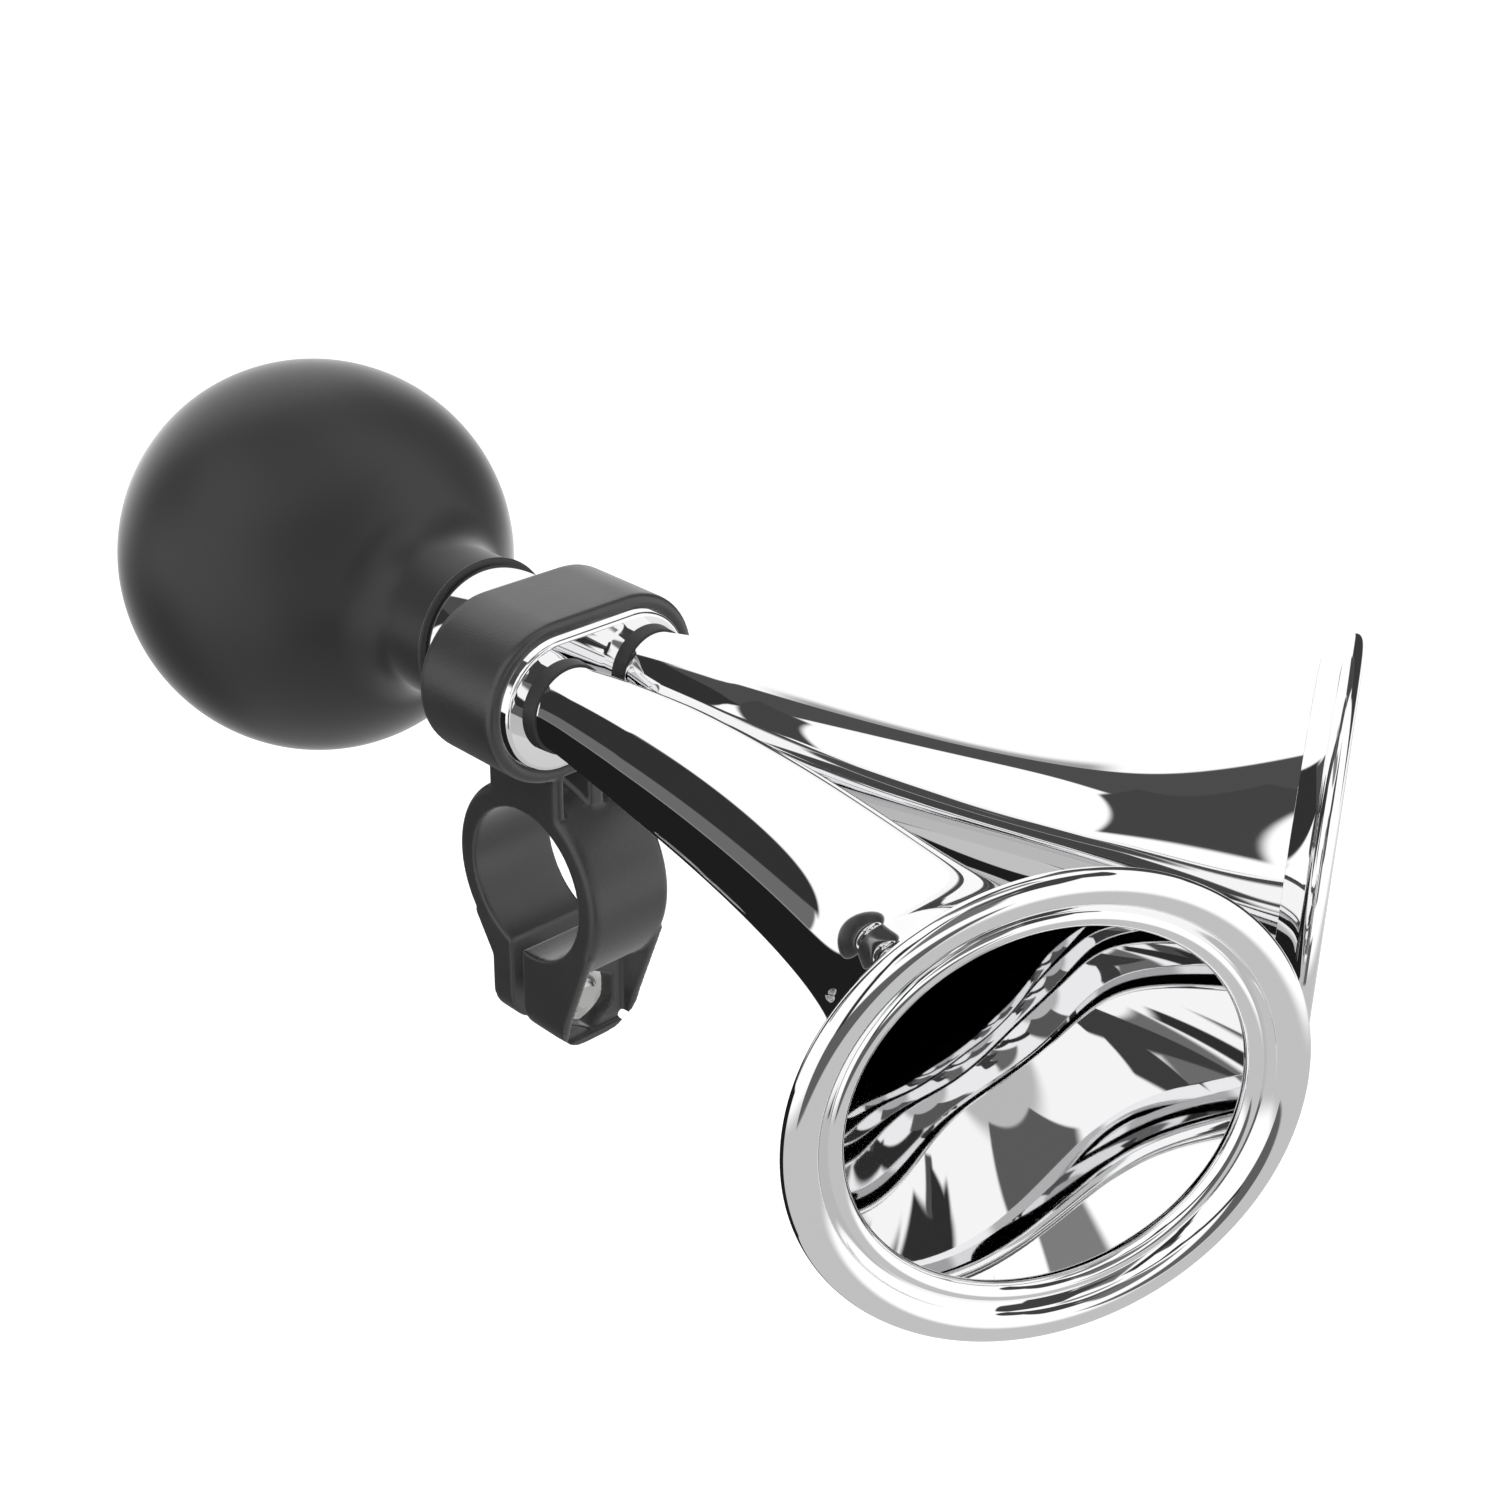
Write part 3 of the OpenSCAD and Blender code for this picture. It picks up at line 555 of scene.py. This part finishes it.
def seal_profile(neck_r, seal_r):
    """Sleeve from the bottom of its seat to the end, a little narrower there."""
    inside, end_r = neck_r + 0.02, seal_r - SEAL_TAPER
    return np.concatenate([
        [[CAP_FACE - SEAL_SUNK, inside], [CAP_FACE - SEAL_SUNK, seal_r], [CAP_FACE, seal_r]],
        arc(NECK_FRONT - SEAL_ROUND, end_r - SEAL_ROUND, SEAL_ROUND, 90, 0, 8),
        [[NECK_FRONT, inside]]])


for horn, seal_r, ending in ((LONG, 6.3, "long"), (SHORT, 5.9, "short")):
    sleeve = turned("neck_sleeve_" + ending, seal_profile(horn["neck"], seal_r),
                    centre=(horn["side"] * horn["y"], horn["z"]))
    piece = add_object("neck_sleeve_" + ending, sleeve, "horn", seal_rubber)
    piece.visible_glossy = False
    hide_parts("neck_seal_" + ending)

# Reeds
# Machined brass plugs in the necks, each with a trough, a thin springy tongue over it and a
# wedge that holds the tongue down. They are plain metal, a little tarnished.
BRASS_COLOUR = (0.72, 0.53, 0.22)
brass = finish("plain_brass", BRASS_COLOUR, 1.0, (0.22, 0.40), 150.0,
               grain=(900.0, 0.1, 0.00003))
for piece in ("body", "tongue", "wedge"):
    for ending in ("long", "short"):
        dress("reed_{}_{}".format(piece, ending), brass)

# Stage
# A wide white floor far below the horn, and a white studio all round. For reflections the
# studio has dark panels and a dark lower half, as the chrome shows.
FLOOR_Z = -0.30
FLOOR_HALF = 6.0
FLOOR_GREY = 0.8
FLOOR_LIFT = 0.45
MIRRORED_STRENGTH = 1.12
SOFT_GREY = 0.75

bpy.ops.mesh.primitive_plane_add(size=2 * FLOOR_HALF, location=(0, 0, FLOOR_Z))
floor = bpy.context.object
floor.name = "floor"
floor.visible_glossy = False
floor_paint = bpy.data.materials.new("floor_paint")
floor_paint.use_nodes = True
nodes, link = floor_paint.node_tree.nodes, floor_paint.node_tree.links.new
shader, path = nodes["Principled BSDF"], nodes.new("ShaderNodeLightPath")
lift = nodes.new("ShaderNodeMath")
lift.operation = "MULTIPLY"
lift.inputs[1].default_value = FLOOR_LIFT
shader.inputs["Base Color"].default_value = (FLOOR_GREY, FLOOR_GREY, FLOOR_GREY, 1)
shader.inputs["Roughness"].default_value = 0.9
shader.inputs["Emission Color"].default_value = (1, 1, 1, 1)
link(path.outputs["Is Camera Ray"], lift.inputs[0])
link(lift.outputs[0], shader.inputs["Emission Strength"])
floor.data.materials.append(floor_paint)


def dark_panel_group():
    """The smaller of Light and 1 - (1 - Level) x mask. The mask is 1 in a window of azimuth and
    elevation, in degrees, whose middle moves by Lean for each degree over Low. It fades over
    Side soft at its sides and over End soft at Low and High."""
    group, start, end = node_group("dark_panel", [
        ("Direction", "Vector", None), ("Light", "Float", 1.0), ("Azimuth", "Float", 0.0),
        ("Half width", "Float", 10.0), ("Low", "Float", 0.0), ("High", "Float", 30.0),
        ("Lean", "Float", 0.0), ("Side soft", "Float", 2.0), ("End soft", "Float", 2.0),
        ("Level", "Float", 0.05)], ["Light"])
    nodes, link = group.nodes, group.links.new

    def math(operation, *inputs):
        node = nodes.new("ShaderNodeMath")
        node.operation = operation
        for socket, value in zip(node.inputs, inputs):
            if isinstance(value, (int, float)):
                socket.default_value = value
            else:
                link(value, socket)
        return node.outputs[0]

    turn, split = nodes.new("ShaderNodeVectorRotate"), nodes.new("ShaderNodeSeparateXYZ")
    turn.rotation_type = "Z_AXIS"
    turn.inputs["Center"].default_value = (0, 0, 0)
    link(start.outputs["Direction"], turn.inputs["Vector"])
    link(math("MULTIPLY", start.outputs["Azimuth"], -np.pi / 180), turn.inputs["Angle"])
    link(turn.outputs["Vector"], split.inputs["Vector"])
    beside = math("MULTIPLY", math("ARCTAN2", split.outputs["Y"], split.outputs["X"]), 180 / np.pi)
    height = math("MULTIPLY", math("ARCSINE", split.outputs["Z"]), 180 / np.pi)
    over_low = math("SUBTRACT", height, start.outputs["Low"])
    off = math("ABSOLUTE", math("SUBTRACT", beside,
                                math("MULTIPLY", start.outputs["Lean"], over_low)))
    edges = [(math("SUBTRACT", start.outputs["Half width"], off), "Side soft"),
             (over_low, "End soft"),
             (math("SUBTRACT", start.outputs["High"], height), "End soft")]
    mask = 1.0
    for edge, soft in edges:
        fade = nodes.new("ShaderNodeMapRange")
        fade.interpolation_type = "SMOOTHSTEP"
        link(edge, fade.inputs["Value"])
        link(math("MULTIPLY", start.outputs[soft], -0.5), fade.inputs["From Min"])
        link(math("MULTIPLY", start.outputs[soft], 0.5), fade.inputs["From Max"])
        mask = math("MULTIPLY", mask, fade.outputs[0])
    drop = math("MULTIPLY", math("SUBTRACT", 1.0, start.outputs["Level"]), mask)
    link(math("MINIMUM", start.outputs["Light"], math("SUBTRACT", 1.0, drop)),
         end.inputs["Light"])
    return group


# The lower half of the room, and then its panels
PANEL_SOCKETS = ("Azimuth", "Half width", "Low", "High", "Lean", "Side soft", "End soft", "Level")
PANELS = (
    (0, 400, -100, -24, 0.0, 1.0, 12.0, 0.52),
    (-170, 50, -62, -13, 0.0, 2.0, 1.5, 0.012),
    (-158, 13, -2, 28, 0.1, 1.2, 6.0, 0.03),
    (-158, 13, -14, 2, 0.1, 1.2, 4.0, 0.14),
    (-154, 12, 24, 62, 0.0, 1.5, 3.0, 0.07),
    (-168, 7, 46, 64, 0.0, 12.0, 8.0, 0.35),
    (-128, 7, 13, 38, -0.7, 2.0, 2.0, 0.055),
    (-18, 28, 36, 58, 1.5, 2.0, 3.0, 0.05),
    (-20, 10, 23, 42, 0.75, 2.0, 2.0, 0.05),
    (-34, 20, -31, -9, 0.0, 1.5, 4.0, 0.11),
    (-48, 4, -12, 33, -0.4, 2.0, 4.0, 0.03),
    (-66, 6, 29, 36, 0.0, 2.0, 2.0, 0.08),
    (-62, 5, 18, 46, 0.35, 2.0, 3.0, 0.03),
    (-34, 12, 8, 50, 0.0, 4.0, 4.0, 0.16),
    (162, 77, 62, 85, 0.0, 6.0, 4.0, 0.07),
    (-60, 60, 66, 82, 0.0, 8.0, 4.0, 0.20),
    (104, 26, 28, 62, 0.0, 4.0, 4.0, 0.06),
    (97, 25, -15, 30, 0.0, 4.0, 4.0, 0.04),
)
DARK_PANEL = dark_panel_group()
studio = bpy.data.worlds.new("studio")
bpy.context.scene.world = studio
studio.use_nodes = True
nodes, link = studio.node_tree.nodes, studio.node_tree.links.new
nodes.clear()
place, path = nodes.new("ShaderNodeTexCoord"), nodes.new("ShaderNodeLightPath")
light = None
for values in PANELS:
    panel = nodes.new("ShaderNodeGroup")
    panel.node_tree = DARK_PANEL
    for label, value in zip(PANEL_SOCKETS, values):
        panel.inputs[label].default_value = value
    link(place.outputs["Generated"], panel.inputs["Direction"])
    if light is not None:
        link(light, panel.inputs["Light"])
    light = panel.outputs["Light"]
seen, mirrored, soft_light = (nodes.new("ShaderNodeBackground") for _ in range(3))
seen.inputs["Color"].default_value = (1, 1, 1, 1)
link(light, mirrored.inputs["Color"])
mirrored.inputs["Strength"].default_value = MIRRORED_STRENGTH
soft_light.inputs["Color"].default_value = (SOFT_GREY, SOFT_GREY, SOFT_GREY, 1)
glossy_mix, camera_mix = nodes.new("ShaderNodeMixShader"), nodes.new("ShaderNodeMixShader")
output = nodes.new("ShaderNodeOutputWorld")
link(path.outputs["Is Glossy Ray"], glossy_mix.inputs[0])
link(soft_light.outputs[0], glossy_mix.inputs[1])
link(mirrored.outputs[0], glossy_mix.inputs[2])
link(path.outputs["Is Camera Ray"], camera_mix.inputs[0])
link(glossy_mix.outputs[0], camera_mix.inputs[1])
link(seen.outputs[0], camera_mix.inputs[2])
link(camera_mix.outputs[0], output.inputs["Surface"])

# Key light
# One large soft lamp above and behind the horn, kept out of the reflections.
LAMP_SIZE = 0.8
LAMP_WATTS = 6.0
LAMP_PLACE = (-0.1, 0.35, 0.9)
LAMP_TILT = (np.radians(-24), np.radians(-6), 0)

lamp_data = bpy.data.lights.new("softbox", "AREA")
lamp_data.shape, lamp_data.size, lamp_data.energy = "DISK", LAMP_SIZE, LAMP_WATTS
lamp = bpy.data.objects.new("softbox", lamp_data)
bpy.context.scene.collection.objects.link(lamp)
lamp.location = LAMP_PLACE
lamp.rotation_euler = LAMP_TILT
lamp.visible_glossy = False

# Camera
# It stands in front of the horn, to the left of it and above, as in the photograph.
FOCAL_PIXELS = 2300.0
IMAGE_SIZE = 1500
CAMERA_AZIMUTH, CAMERA_PITCH, CAMERA_ROLL = np.radians([45.392, 26.697, -1.071])
CAMERA_PLACE = (0.216203, -0.177170, 0.158830)

camera_data = bpy.data.cameras.new("camera")
camera_data.sensor_width = 36.0
camera_data.lens = FOCAL_PIXELS / IMAGE_SIZE * camera_data.sensor_width
camera_data.clip_start = 0.01
camera = bpy.data.objects.new("camera", camera_data)
bpy.context.scene.collection.objects.link(camera)
level = np.array([-np.sin(CAMERA_AZIMUTH), np.cos(CAMERA_AZIMUTH), 0.0])
ahead = np.cos(CAMERA_PITCH) * level - np.sin(CAMERA_PITCH) * np.array([0.0, 0.0, 1.0])
right = np.cross(level, [0.0, 0.0, 1.0])
down = np.cross(ahead, right)
right, down = (np.cos(CAMERA_ROLL) * right + np.sin(CAMERA_ROLL) * down,
               -np.sin(CAMERA_ROLL) * right + np.cos(CAMERA_ROLL) * down)
turn = Matrix([[right[k], -down[k], -ahead[k]] for k in range(3)]).to_4x4()
camera.matrix_world = Matrix.Translation(CAMERA_PLACE) @ turn
bpy.context.scene.camera = camera
bpy.context.scene.view_settings.view_transform = "Standard"
